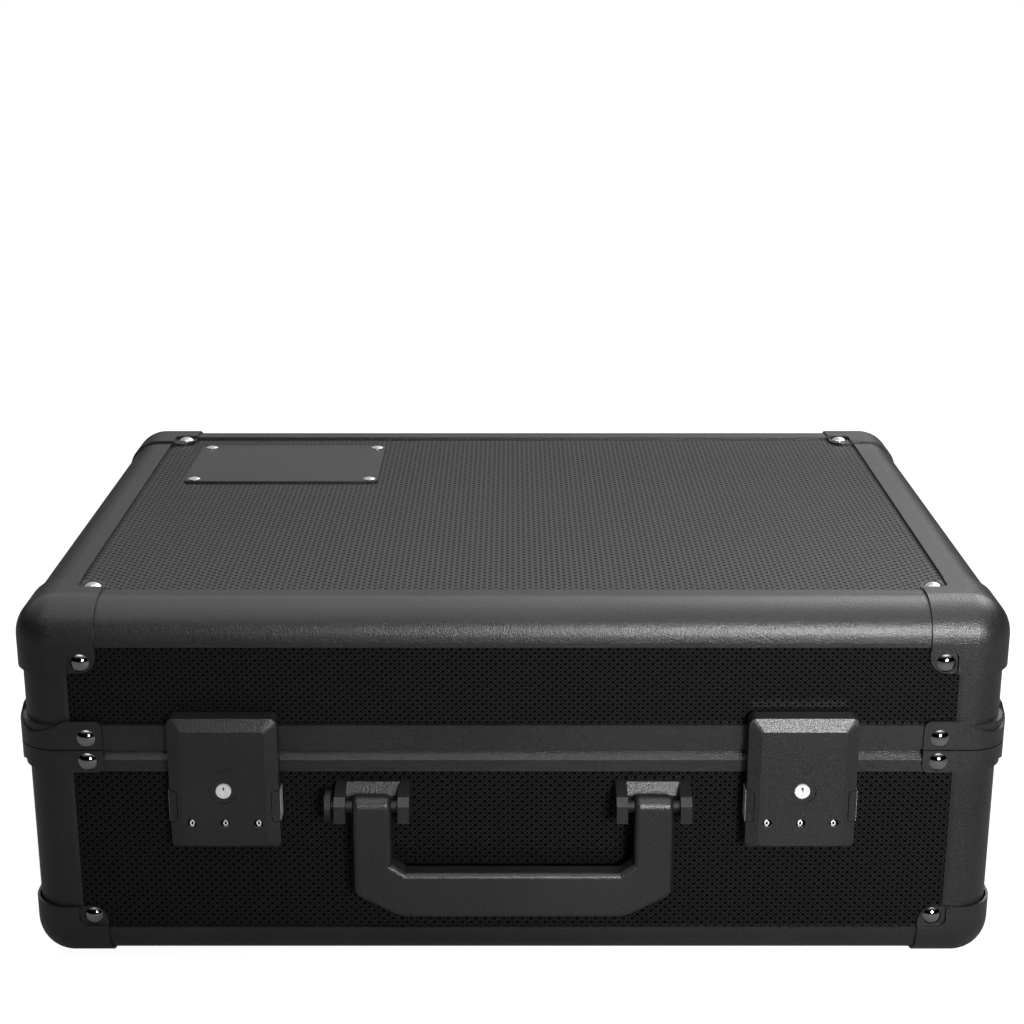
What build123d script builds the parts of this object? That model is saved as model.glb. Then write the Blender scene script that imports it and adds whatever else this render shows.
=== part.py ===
from build123d import *
import os
from math import sqrt

os.makedirs("parts", exist_ok=True)

# Millimetres, +Z up, front towards -Y. The case stands on its ball corners at Z = 0, and the origin
# is under the middle of its whole outline, handle and hinges included.

# Case shell, measured over the edge rails
case_width = 457.0
case_depth = 324.0
base_height = 110.5
lid_height = 69.0
edge_round = 17.0

# Boards and the sheet metal that frames them
board = 5.0
skin = 1.5
rail_reach = 24.5
base_rail_drop = 17.3
lid_rail_drop = 19.1
rail_seat = 12.5
post_reach = 24.0
post_inset = 0.8
post_lip = 1.8
post_lip_edge = 0.3

# Rims where lid and base meet
rim_proud = 1.0
rim_gap = 0.6
lid_skirt = 11.9
lid_web = 2.6
base_skirt = 11.2
base_web = 6.2
rim_inner_leg = 11.0
shoulder_top = 2.0
shoulder_bottom = 5.5
shoulder_setback = 1.6
groove_inset = 3.2
groove_width = 3.0
groove_depth = 3.6
tongue_width = 1.6
tongue_depth = 2.8
mitre_trim = 0.5

# Ball corners
cap_sheet = 1.2
cap_seat = 0.1
base_cap_leg = 35.6
base_cap_rise = 28.4
base_cap_step = 21.0
lid_cap_leg = 38.0
lid_cap_rise = 31.8
cap_round = 8.0
cap_step_round = 2.5

# Rim brackets
bracket_sheet = 1.2
bracket_seat = 0.1
bracket_leg = 39.0
lid_bracket_height = 13.8
base_bracket_height = 10.9
lid_bracket_waist = 7.4
base_bracket_waist = 6.4
bracket_round = 3.2

# Rivets
rivet_radius = 4.3
rivet_height = 2.1
floor_rivet_height = 0.9
rivet_edge = 0.35
base_rivet_from_side = 28.9
base_rivet_from_edge = 23.6
lid_rivet_from_side = 30.8
lid_rivet_from_edge = 26.7
top_rivet_from_side = 32.0
top_rivet_from_front = 30.6
bracket_rivet_from_side = 31.8
lid_bracket_rivet_rise = 5.6
base_bracket_rivet_drop = 5.4

# Rear hinges
hinge_spacing_share = 0.62
hinge_width = 60.0
hinge_leaf = 1.5
hinge_out = 4.8
knuckle_radius = 3.4
knuckle_share = 0.3
hinge_pin_radius = 1.6
leaf_drop = 34.0
leaf_round = 3.0
hinge_rivet_radius = 3.0
hinge_rivet_height = 1.4
hinge_rivet_drop = 24.0
hinge_rivet_spacing = 36.0

# Handle
handle_spacing = 130.0
arm_width = 17.9
handle_thick = 10.5
handle_front = 16.0
arm_top_drop = 18.7
grip_top_drop = 56.6
grip_bottom_drop = 79.3
inner_bevel_rise = 4.4
inner_bevel_run = 6.4
outer_bevel_rise = 11.4
outer_bevel_run = 21.6
outer_bevel_round = 5.2
grip_foot_round = 20.0
handle_edge_round = 2.6
bracket_width = 34.6
bracket_ear = 5.2
bracket_top_drop = 16.2
bracket_slope_drop = 18.8
bracket_bevel = 3.4
bracket_bottom_drop = 30.7
bracket_back = 3.0
web_front = 4.6
web_drop = 21.8
handle_pin_radius = 2.5
pin_head_radius = 7.4
pin_head_thick = 2.7
pin_head_gap = 1.4

# Locks, heights counted from the split between lid and base
lock_spacing_share = 0.582
lock_width = 50.4
lock_rise = 19.0
lock_drop = 45.4
lock_edge = 9.7
lock_front = 11.8
lock_bevel = 5.8
lock_foot_bevel = 1.4
lock_top_round = 3.6
lock_foot_round = 2.5
lock_wall = 1.6
lock_pivot_rise = 15.1
lock_pivot_out = 5.0
lock_pin_radius = 1.1
lock_pin_inset = 0.8
lock_foot_slot = 3.4
lock_front_round = 1.2
rib_thick = 1.0
rib_half = 4.0
rib_back = 3.4
plate_width = 42.0
plate_thick = 1.4
plate_foot = 1.0
plate_top = 10.8
ear_from_side = 0.5
ear_thick = 2.0
ear_top = 11.4
ear_back = 3.3
ear_radius = 2.0
ear_foot = 4.0
ear_shoulder = 8.0

# Number wheels
wheel_spacing = 15.4
wheel_radius = 4.4
wheel_width = 5.0
window_drop = 32.6
wheel_drop = 33.4
wheel_gap = 0.4
wheel_out = 5.4
wheel_notches = 10
wheel_notch_radius = 0.45
axle_radius = 1.1
window_radius = 2.2

# Key cylinder
key_drop = 16.2
key_radius = 3.5
key_proud = 0.3
key_length = 5.1
key_slot_width = 0.9
key_slot_length = 4.0
key_slot_depth = 1.2
key_dish_radius = 6.45
key_dish_depth = 0.7
key_boss_radius = 5.2
key_boss_back = 7.4
key_tail_radius = 1.7
cam_thick = 0.9
cam_reach = 5.8
cam_width = 3.4
mark_drop = 5.0
mark_length = 7.6
mark_height = 4.6
mark_depth = 0.5

# Squeeze buttons and the keeper that they hook under
button_top_drop = 16.5
button_bottom_drop = 32.5
button_width = 3.6
button_proud = 0.5
button_gap = 0.3
button_round = 1.7
button_pivot_in = 0.7
button_pivot_out = 9.6
trunnion_radius = 0.55
trunnion_length = 1.0
bar_drop = 23.8
bar_height = 3.6
bar_out = 4.0
bar_thick = 1.6
hook_from_middle = 4.6
hook_leg = 1.2
hook_toe = 1.2
hook_toe_thick = 0.9
keeper_width = 28.0
keeper_height = 10.0
keeper_post = 1.5
keeper_from_middle = 8.5
keeper_post_height = 6.5
keeper_lip = 1.2
keeper_lip_thick = 1.0
keeper_out = 3.2

# Plate on the top board
badge_width = 108.0
badge_depth = 76.0
badge_thick = 1.2
badge_round = 3.0
badge_from_left = 45.0
badge_from_back = 42.5
badge_rivet_radius = 3.7
badge_rivet_height = 1.3
badge_rivet_inset = 5.0

# Foam
slab_width = 82.5
slab_play = 1.5
foam_gap = 0.3
foam_floor = 8.0
foam_end = 14.0
foam_divider = 18.0
foam_side_least = 8.0
foam_below_split = 2.0
lid_foam = 18.0

# Fits
running = 0.05
clear = 0.4
overrun = 5.0

# Places worked out from the sizes above
frame_depth = 2 * skin + board
post_seat = edge_round
stand = cap_sheet + cap_seat
split_z = stand + base_height
top_z = split_z + lid_height
half_width = case_width / 2
front_reach = handle_front - handle_thick / 2 + pin_head_radius
back_reach = hinge_out + knuckle_radius
mid_y = (front_reach - back_reach) / 2
front_y = mid_y - case_depth / 2
back_y = mid_y + case_depth / 2
mid_plane = Plane(origin=(0, mid_y, 0), x_dir=(1, 0, 0), z_dir=(0, 1, 0))
cap_grow = cap_seat + cap_sheet
bracket_face = rim_proud + bracket_seat + bracket_sheet
lock_back = rim_proud + clear


def span(low, high, mode=Mode.ADD):
    """Fill the block between two opposite corners."""
    size = [b - a for a, b in zip(low, high)]
    centre = [(a + b) / 2 for a, b in zip(low, high)]
    with Locations(tuple(centre)):
        Box(*size, mode=mode)


def outward_plane(x, out, z):
    """A plane on the front, square to it, that stands out from the rails by out."""
    return Plane(origin=(x, front_y - out, z), x_dir=(1, 0, 0), z_dir=(0, -1, 0))


def side_section(x, y, z):
    """A plane square to X: its x runs towards the back and its y runs up."""
    return Plane(origin=(x, y, z), x_dir=(0, 1, 0), z_dir=(1, 0, 0))


# Rounded outer form of the closed case, which trims the ends of the corner posts.
with BuildPart() as case_form:
    span((-half_width, front_y, stand), (half_width, back_y, top_z))
    fillet(case_form.edges(), radius=edge_round)


# Edge rails: an L section rounded outside, with a slot for the board on each leg.
def rail_section(plane, drop):
    """Section of an edge rail: x runs in from the wall, y in from the floor or the top."""
    with BuildSketch(plane) as section:
        with BuildLine():
            Polyline(
                (0, 0),
                (rail_reach, 0),
                (rail_reach, frame_depth),
                (frame_depth, frame_depth),
                (frame_depth, drop),
                (0, drop),
                close=True,
            )
        make_face()
        fillet(section.vertices().sort_by_distance((0, 0, 0))[0], radius=edge_round)
        with Locations((rail_seat, skin)):
            Rectangle(rail_reach, board, align=(Align.MIN, Align.MIN), mode=Mode.SUBTRACT)
        with Locations((skin, rail_seat)):
            Rectangle(board, rail_reach, align=(Align.MIN, Align.MIN), mode=Mode.SUBTRACT)
    return section.sketch


front_run = case_width - 2 * rail_reach
side_run = case_depth - 2 * rail_reach

front_low = Plane(origin=(-front_run / 2, front_y, stand), x_dir=(0, 1, 0), z_dir=(1, 0, 0))
left_low = Plane(origin=(-half_width, mid_y + side_run / 2, stand), x_dir=(1, 0, 0), z_dir=(0, -1, 0))
front_high = Plane(origin=(front_run / 2, front_y, top_z), x_dir=(0, 1, 0), z_dir=(-1, 0, 0))
left_high = Plane(origin=(-half_width, mid_y - side_run / 2, top_z), x_dir=(1, 0, 0), z_dir=(0, 1, 0))


def edge_rails(front_plane, left_plane, drop):
    """Four separate rails: the front and the left one, each with its mirrored partner."""
    front = extrude(rail_section(front_plane, drop), amount=front_run)
    mirror(front, about=mid_plane)
    left = extrude(rail_section(left_plane, drop), amount=side_run)
    mirror(left, about=Plane.YZ)


with BuildPart() as base_edge_rails:
    edge_rails(front_low, left_low, base_rail_drop)
base_edge_rails.part.label = "base_edge_rails"
export_step(base_edge_rails.part, "parts/base_edge_rails.step")

with BuildPart() as lid_edge_rails:
    edge_rails(front_high, left_high, lid_rail_drop)
lid_edge_rails.part.label = "lid_edge_rails"
export_step(lid_edge_rails.part, "parts/lid_edge_rails.step")


# Corner posts: the same kind of section standing upright, rounded to the ball at foot or head. The
# flanges of the base posts stop short of the tabs of the ball corners, which lie on the boards there.
def post_section(height):
    """Plan section of the front left post at a height: x and y run in from the two walls."""
    with BuildSketch(Plane(origin=(-half_width, front_y, height))) as section:
        with BuildLine():
            Polyline(
                (post_inset, post_inset),
                (post_reach - post_lip, post_inset),
                (post_reach, skin - post_lip_edge),
                (post_reach, frame_depth),
                (frame_depth, frame_depth),
                (frame_depth, post_reach),
                (skin - post_lip_edge, post_reach),
                (post_inset, post_reach - post_lip),
                close=True,
            )
        make_face()
        fillet(section.vertices().sort_by_distance((0, 0, 0))[0], radius=edge_round - post_inset)
        with Locations((post_seat, skin)):
            Rectangle(post_reach, board, align=(Align.MIN, Align.MIN), mode=Mode.SUBTRACT)
        with Locations((skin, post_seat)):
            Rectangle(board, post_reach, align=(Align.MIN, Align.MIN), mode=Mode.SUBTRACT)
    return section.sketch


def to_all_corners():
    """Copy what stands in the front left corner to the other three."""
    mirror(about=Plane.YZ)
    mirror(about=mid_plane)


with BuildPart() as base_corner_posts:
    extrude(post_section(stand), amount=base_height - base_skirt)
    add(case_form.part, mode=Mode.INTERSECT)
    tab_high = stand + base_cap_rise + clear
    step_x = -half_width + base_cap_step
    step_y = front_y + base_cap_step
    span(
        (step_x, front_y, stand),
        (step_x + post_reach, front_y + skin, tab_high),
        mode=Mode.SUBTRACT,
    )
    span(
        (-half_width, step_y, stand),
        (-half_width + skin, step_y + post_reach, tab_high),
        mode=Mode.SUBTRACT,
    )
    to_all_corners()
base_corner_posts.part.label = "base_corner_posts"
export_step(base_corner_posts.part, "parts/base_corner_posts.step")

with BuildPart() as lid_corner_posts:
    extrude(post_section(split_z + lid_skirt), amount=lid_height - lid_skirt)
    add(case_form.part, mode=Mode.INTERSECT)
    to_all_corners()
lid_corner_posts.part.label = "lid_corner_posts"
export_step(lid_corner_posts.part, "parts/lid_corner_posts.step")

# Boards: embossed sheets that stand in the slots of the rails, the posts and the rims.
floor_in = rail_seat
wall_in = post_seat
low_board_z = stand + rail_seat
base_board_top = split_z - base_web
lid_board_foot = split_z + lid_web
high_board_z = top_z - rail_seat


def wall_boards(low_z, high_z, wall):
    """The board of one wall: front, back, left or right."""
    if wall in ("front", "back"):
        near = front_y + skin if wall == "front" else back_y - skin - board
        return (-half_width + wall_in, near, low_z), (half_width - wall_in, near + board, high_z)
    near = -half_width + skin if wall == "left" else half_width - skin - board
    return (near, front_y + wall_in, low_z), (near + board, back_y - wall_in, high_z)


with BuildPart() as base_floor_board:
    span(
        (-half_width + floor_in, front_y + floor_in, stand + skin),
        (half_width - floor_in, back_y - floor_in, stand + skin + board),
    )
base_floor_board.part.label = "base_floor_board"
export_step(base_floor_board.part, "parts/base_floor_board.step")

with BuildPart() as lid_top_board:
    span(
        (-half_width + floor_in, front_y + floor_in, top_z - skin - board),
        (half_width - floor_in, back_y - floor_in, top_z - skin),
    )
lid_top_board.part.label = "lid_top_board"
export_step(lid_top_board.part, "parts/lid_top_board.step")

for wall in ("front", "back", "left", "right"):
    with BuildPart() as base_board:
        span(*wall_boards(low_board_z, base_board_top, wall))
    base_board.part.label = f"base_{wall}_board"
    export_step(base_board.part, f"parts/base_{wall}_board.step")
    with BuildPart() as lid_board:
        span(*wall_boards(lid_board_foot, high_board_z, wall))
    lid_board.part.label = f"lid_{wall}_board"
    export_step(lid_board.part, f"parts/lid_{wall}_board.step")


# Rims: one section carried along each side and half way round the corner at each end.
def rim_rails(points):
    """Four mitred rails. The points of the section are (inward, up) from the wall at the split."""
    in_x = half_width - edge_round
    in_y = case_depth / 2 - edge_round
    centres = [(-in_x, mid_y - in_y), (in_x, mid_y - in_y), (in_x, mid_y + in_y), (-in_x, mid_y + in_y)]
    turn = 45 - mitre_trim
    for side in range(4):
        facing = 270 + 90 * side
        with BuildLine(Plane.XY.offset(split_z)) as path:
            first = CenterArc(centres[side], edge_round, facing - turn, turn)
            last = CenterArc(centres[(side + 1) % 4], edge_round, facing, turn)
            Line(first @ 1, last @ 0)
        start = path.wire() @ 0
        inward = Vector(*centres[side], split_z) - start
        section_plane = Plane(origin=start, x_dir=inward, z_dir=path.wire() % 0)
        with BuildSketch(section_plane) as section:
            with BuildLine():
                Polyline(*points, close=True)
            make_face()
        sweep(section.sketch, path=path.wire())


seam = rim_gap / 2
board_in = skin + board
groove_far = groove_inset + groove_width
tongue_near = groove_inset + (groove_width - tongue_width) / 2

with BuildPart() as base_rim:
    rim_rails([
        (-rim_proud, -base_skirt),
        (-rim_proud, -shoulder_bottom),
        (shoulder_setback, -shoulder_top),
        (shoulder_setback, -seam),
        (groove_inset, -seam),
        (groove_inset, -seam - groove_depth),
        (groove_far, -seam - groove_depth),
        (groove_far, -seam),
        (frame_depth, -seam),
        (frame_depth, -rim_inner_leg),
        (board_in, -rim_inner_leg),
        (board_in, -base_web),
        (skin, -base_web),
        (skin, -base_skirt),
    ])
base_rim.part.label = "base_rim"
export_step(base_rim.part, "parts/base_rim.step")

with BuildPart() as lid_rim:
    rim_rails([
        (-rim_proud, seam),
        (-rim_proud, lid_skirt),
        (skin, lid_skirt),
        (skin, lid_web),
        (board_in, lid_web),
        (board_in, rim_inner_leg),
        (frame_depth, rim_inner_leg),
        (frame_depth, seam),
        (tongue_near + tongue_width, seam),
        (tongue_near + tongue_width, -tongue_depth),
        (tongue_near, -tongue_depth),
        (tongue_near, seam),
    ])
lid_rim.part.label = "lid_rim"
export_step(lid_rim.part, "parts/lid_rim.step")


# Ball corners: pressed sheet that follows the rounded rails and steps down onto the boards.
cap_block = 2 * max(base_cap_leg, lid_cap_leg)


def sunk_board(plane, near, grow):
    """Lower the panel of one face beyond the rails: near gives where it starts along x and y."""
    with BuildSketch(plane) as pocket:
        with Locations((near[0] + grow, near[1] + grow)):
            Rectangle(cap_block, cap_block, align=(Align.MIN, Align.MIN))
        inner = pocket.vertices().sort_by_distance((0, 0, 0))[0]
        fillet(inner, radius=cap_step_round + grow)
    extrude(pocket.sketch, amount=skin, mode=Mode.SUBTRACT)


def corner_form(grow, rail_drop, step):
    """A solid corner of the case grown outward by grow, its point at the origin before growing."""
    with BuildPart() as form:
        span((-grow, -grow, -grow), (cap_block, cap_block, cap_block))
        ball = form.edges().sort_by(lambda edge: edge.distance_to(Vertex(-grow, -grow, -grow)))[:3]
        fillet(ball, radius=edge_round + grow)
        low = Plane(origin=(0, 0, -grow), x_dir=(1, 0, 0), z_dir=(0, 0, 1))
        front = Plane(origin=(0, -grow, 0), x_dir=(0, 0, 1), z_dir=(0, 1, 0))
        side = Plane(origin=(-grow, 0, 0), x_dir=(0, 1, 0), z_dir=(1, 0, 0))
        sunk_board(low, (rail_reach, rail_reach), grow)
        sunk_board(front, (rail_drop, step), grow)
        sunk_board(side, (step, rail_drop), grow)
    return form.part


def ball_corner(leg, rise, rail_drop, step):
    """The sheet of one corner, with its legs along two walls and the floor or the top."""
    with BuildPart() as outline:
        span((-leg, -leg, -leg), (leg, leg, rise))
        tip = Vertex(leg, leg, rise)
        free = [edge for edge in outline.edges() if edge.distance_to(tip) < cap_sheet]
        fillet(free, radius=cap_round)
    with BuildPart() as sheet:
        add(corner_form(cap_grow, rail_drop, step))
        add(corner_form(cap_seat, rail_drop, step), mode=Mode.SUBTRACT)
        add(outline.part, mode=Mode.INTERSECT)
    return sheet.part


low_corner = Location((-half_width, front_y, stand))
high_corner = Location((-half_width, front_y, top_z))
base_corner = ball_corner(base_cap_leg, base_cap_rise, base_rail_drop, base_cap_step)
lid_corner = ball_corner(lid_cap_leg, lid_cap_rise, lid_rail_drop, post_reach)

with BuildPart() as base_ball_corners:
    add(base_corner.moved(low_corner))
    to_all_corners()
base_ball_corners.part.label = "base_ball_corners"
export_step(base_ball_corners.part, "parts/base_ball_corners.step")

with BuildPart() as lid_ball_corners:
    add(mirror(lid_corner, about=Plane.XY, mode=Mode.PRIVATE).moved(high_corner))
    to_all_corners()
lid_ball_corners.part.label = "lid_ball_corners"
export_step(lid_ball_corners.part, "parts/lid_ball_corners.step")


# Rim brackets: sheet wrapped round each rim corner, narrowed over the corner itself.
diagonal = Plane(origin=(0, 0, 0), x_dir=(-1, 1, 0), z_dir=(1, 1, 0))
bracket_inner = rim_proud + bracket_seat
waist_half = post_reach / sqrt(2)


def bracket_blank(height):
    """A bracket of full height before it is narrowed, on the XY plane, its corner at the origin."""
    with BuildSketch() as strip:
        with Locations((-bracket_face, -bracket_face)):
            Rectangle(bracket_leg + bracket_face, bracket_leg + bracket_face, align=(Align.MIN, Align.MIN))
        outer = strip.vertices().sort_by_distance((-bracket_face, -bracket_face, 0))[0]
        fillet(outer, radius=edge_round + bracket_face)
        with BuildSketch(mode=Mode.SUBTRACT) as inside:
            with Locations((-bracket_inner, -bracket_inner)):
                Rectangle(bracket_leg * 2, bracket_leg * 2, align=(Align.MIN, Align.MIN))
            inner = inside.vertices().sort_by_distance((-bracket_inner, -bracket_inner, 0))[0]
            fillet(inner, radius=edge_round + bracket_inner)
    extrude(strip.sketch, amount=height)


def bracket_ends(edges, height):
    """The two short edges across the sheet at the free ends, at one height."""
    level = edges.filter_by(lambda edge: abs(edge.center().Z - height) < clear)
    across = level.filter_by(lambda edge: edge.length < bracket_sheet + clear)
    return across.filter_by(lambda edge: max(edge.center()) > waist_half)


with BuildPart() as lid_bracket:
    bracket_blank(lid_bracket_height)
    fillet(bracket_ends(lid_bracket.edges(), lid_bracket_height), radius=bracket_round)
    drop = lid_bracket_height - lid_bracket_waist
    dip_radius = (waist_half**2 + drop**2) / (2 * drop)
    with BuildSketch(diagonal) as dip:
        with Locations((0, lid_bracket_waist + dip_radius)):
            Circle(dip_radius)
    extrude(dip.sketch, amount=case_width, both=True, mode=Mode.SUBTRACT)

with BuildPart() as base_bracket:
    bracket_blank(base_bracket_height)
    fillet(bracket_ends(base_bracket.edges(), 0), radius=bracket_round)
    with BuildSketch(diagonal) as taper:
        with BuildLine():
            Polyline(
                (-waist_half, 0),
                (0, base_bracket_height - base_bracket_waist),
                (waist_half, 0),
                close=True,
            )
        make_face()
    extrude(taper.sketch, amount=case_width, both=True, mode=Mode.SUBTRACT)

base_bracket_foot = split_z - seam - base_bracket_height

with BuildPart() as lid_rim_brackets:
    add(lid_bracket.part.moved(Location((-half_width, front_y, split_z + seam))))
    to_all_corners()
lid_rim_brackets.part.label = "lid_rim_brackets"
export_step(lid_rim_brackets.part, "parts/lid_rim_brackets.step")

with BuildPart() as base_rim_brackets:
    add(base_bracket.part.moved(Location((-half_width, front_y, base_bracket_foot))))
    to_all_corners()
base_rim_brackets.part.label = "base_rim_brackets"
export_step(base_rim_brackets.part, "parts/base_rim_brackets.step")


# Rivets: domed heads that sit on the sheet.
def rivet_head(radius, height):
    """A domed head with a low upright edge, standing on the XY plane."""
    with BuildPart() as head:
        with BuildSketch(Plane.XZ):
            with BuildLine():
                Line((0, height), (0, 0))
                Line((0, 0), (radius, 0))
                Line((radius, 0), (radius, rivet_edge))
                TangentArc((0, height), (radius, rivet_edge), tangent=(1, 0))
            make_face()
        revolve(axis=Axis.Z)
    return head.part


dome_rivet = rivet_head(rivet_radius, rivet_height)
floor_rivet = rivet_head(rivet_radius, floor_rivet_height)
hinge_rivet = rivet_head(hinge_rivet_radius, hinge_rivet_height)
badge_rivet = rivet_head(badge_rivet_radius, badge_rivet_height)


def set_rivet(head, x, y, z, outward):
    """Place a head with its foot at a point and its crown outward."""
    add(head.moved(Plane(origin=(x, y, z), z_dir=outward).location))


tab_in = skin - cap_grow
leaf_face_y = back_y - skin + hinge_leaf
hinge_spacing = hinge_spacing_share * case_width


def corner_rivets(from_side, tab_z, bracket_z, flat_head, flat_z, flat_out):
    """The rivets of one corner: on its front, its side, its floor or top, and its rim bracket."""
    near_x = -half_width + from_side
    near_y = front_y + from_side
    set_rivet(dome_rivet, near_x, front_y + tab_in, tab_z, (0, -1, 0))
    set_rivet(dome_rivet, -half_width + tab_in, near_y, tab_z, (-1, 0, 0))
    flat_x = -half_width + top_rivet_from_side
    set_rivet(flat_head, flat_x, front_y + top_rivet_from_front, flat_z, flat_out)
    bracket_x = -half_width + bracket_rivet_from_side
    set_rivet(dome_rivet, bracket_x, front_y - bracket_face, bracket_z, (0, -1, 0))
    bracket_y = front_y + bracket_rivet_from_side
    set_rivet(dome_rivet, -half_width - bracket_face, bracket_y, bracket_z, (-1, 0, 0))


def hinge_rivets(z):
    """Two rivets through each leaf of the rear hinges at one height."""
    for hinge_x in (-hinge_spacing / 2, hinge_spacing / 2):
        for across in (-hinge_rivet_spacing / 2, hinge_rivet_spacing / 2):
            set_rivet(hinge_rivet, hinge_x + across, leaf_face_y, z, (0, 1, 0))


with BuildPart() as base_rivets:
    tab_z = stand + base_rivet_from_edge
    bracket_z = split_z - seam - base_bracket_rivet_drop
    corner_rivets(base_rivet_from_side, tab_z, bracket_z, floor_rivet, stand + tab_in, (0, 0, -1))
    to_all_corners()
    hinge_rivets(split_z - hinge_rivet_drop)
base_rivets.part.label = "base_rivets"
export_step(base_rivets.part, "parts/base_rivets.step")

with BuildPart() as lid_rivets:
    tab_z = top_z - lid_rivet_from_edge
    bracket_z = split_z + seam + lid_bracket_rivet_rise
    corner_rivets(lid_rivet_from_side, tab_z, bracket_z, dome_rivet, top_z - tab_in, (0, 0, 1))
    to_all_corners()
    hinge_rivets(split_z + hinge_rivet_drop)
lid_rivets.part.label = "lid_rivets"
export_step(lid_rivets.part, "parts/lid_rivets.step")


# Rear hinges: joggled leaves over the rims, with knuckles round a pin at the height of the split.
knuckle_length = hinge_width * knuckle_share


def hinge_leaf_form(up, skirt, ends):
    """One leaf at X = 0. The sign up is 1 on the lid, and ends says which knuckles it carries."""
    face = side_section(-hinge_width / 2, back_y, split_z)
    step = up * (skirt + clear)
    with BuildPart() as leaf:
        with BuildSketch(face):
            with BuildLine():
                Polyline(
                    (rim_proud, 0),
                    (rim_proud + hinge_leaf, 0),
                    (rim_proud + hinge_leaf, step + up * hinge_leaf),
                    (hinge_leaf - skin, step + up * hinge_leaf),
                    (hinge_leaf - skin, up * leaf_drop),
                    (-skin, up * leaf_drop),
                    (-skin, step),
                    (rim_proud, step),
                    close=True,
                )
            make_face()
        extrude(amount=hinge_width)
        foot = leaf.edges().filter_by(Axis.Y).sort_by(Axis.Z)
        fillet(foot[:2] if up < 0 else foot[-2:], radius=leaf_round)
        own = [(-hinge_width / 2, knuckle_length), (hinge_width / 2 - knuckle_length, knuckle_length)]
        others = [(-hinge_width / 2 + knuckle_length, hinge_width - 2 * knuckle_length)]
        if ends == "middle":
            own, others = others, own
        reach = knuckle_radius + clear
        for start, length in others:
            span(
                (start - clear, back_y, split_z - reach),
                (start + length + clear, back_y + hinge_out, split_z + reach),
                mode=Mode.SUBTRACT,
            )
        for start, length in own:
            trim = clear / 2
            with BuildSketch(side_section(start + trim, back_y, split_z)):
                with Locations((hinge_out, 0)):
                    Circle(knuckle_radius)
            extrude(amount=length - 2 * trim)
        with BuildSketch(face):
            with Locations((hinge_out, 0)):
                Circle(hinge_pin_radius + running)
        extrude(amount=hinge_width, mode=Mode.SUBTRACT)
    return leaf.part


def both_hinges(piece):
    """Copy a piece at X = 0 to the two hinges."""
    for hinge_x in (-hinge_spacing / 2, hinge_spacing / 2):
        add(piece.moved(Location((hinge_x, 0, 0))))


with BuildPart() as hinge_pin:
    with BuildSketch(side_section(-hinge_width / 2, back_y, split_z)):
        with Locations((hinge_out, 0)):
            Circle(hinge_pin_radius)
    extrude(amount=hinge_width)

base_leaf = hinge_leaf_form(-1, base_skirt, "ends")
lid_leaf = hinge_leaf_form(1, lid_skirt, "middle")

with BuildPart() as base_hinge_leaves:
    both_hinges(base_leaf)
base_hinge_leaves.part.label = "base_hinge_leaves"
export_step(base_hinge_leaves.part, "parts/base_hinge_leaves.step")

with BuildPart() as lid_hinge_leaves:
    both_hinges(lid_leaf)
lid_hinge_leaves.part.label = "lid_hinge_leaves"
export_step(lid_hinge_leaves.part, "parts/lid_hinge_leaves.step")

with BuildPart() as hinge_pins:
    both_hinges(hinge_pin.part)
hinge_pins.part.label = "hinge_pins"
export_step(hinge_pins.part, "parts/hinge_pins.step")

# Handle: a flat moulded loop that hangs from pins in two brackets.
pivot_out = handle_front - handle_thick / 2
pivot_drop = arm_top_drop + handle_thick / 2
arm_outer = (handle_spacing + arm_width) / 2
arm_inner = (handle_spacing - arm_width) / 2

with BuildPart() as handle:
    with BuildSketch(outward_plane(0, handle_front - handle_thick, split_z)) as loop:
        with BuildLine():
            Polyline(
                (0, -grip_bottom_drop),
                (arm_outer - outer_bevel_run, -grip_bottom_drop),
                (arm_outer, outer_bevel_rise - grip_bottom_drop),
                (arm_outer, -arm_top_drop),
                (arm_inner, -arm_top_drop),
                (arm_inner, inner_bevel_rise - grip_top_drop),
                (arm_inner - inner_bevel_run, -grip_top_drop),
                (0, -grip_top_drop),
            )
            mirror(about=Plane.YZ)
        make_face()
        fillet(loop.vertices().group_by(Axis.Y)[1], radius=outer_bevel_round)
        fillet(loop.vertices().group_by(Axis.Y)[0], radius=grip_foot_round)
    extrude(amount=handle_thick)
    with BuildPart(mode=Mode.INTERSECT):
        with BuildSketch(side_section(-half_width, front_y - pivot_out, split_z - pivot_drop)):
            Circle(handle_thick / 2)
            Rectangle(handle_thick, grip_bottom_drop, align=(Align.CENTER, Align.MAX))
        extrude(amount=case_width)
    front_edges = handle.faces().sort_by(Axis.Y)[0].edges()
    back_edges = handle.faces().sort_by(Axis.Y)[-1].edges()
    level = split_z - pivot_drop - running
    rims = [edge for edge in front_edges + back_edges if edge.center().Z < level]
    top_arcs = [edge for edge in handle.edges() if edge.center().Z > split_z - pivot_drop + running]
    fillet(rims + [edge for edge in top_arcs if abs(edge.tangent_at(0).X) < running], handle_edge_round)
    with BuildSketch(side_section(-half_width, front_y - pivot_out, split_z - pivot_drop)):
        Circle(handle_pin_radius + running)
    extrude(amount=case_width, mode=Mode.SUBTRACT)
handle.part.label = "handle"
export_step(handle.part, "parts/handle.step")

bracket_half = bracket_width / 2
ear_inner = bracket_half - bracket_ear

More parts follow.
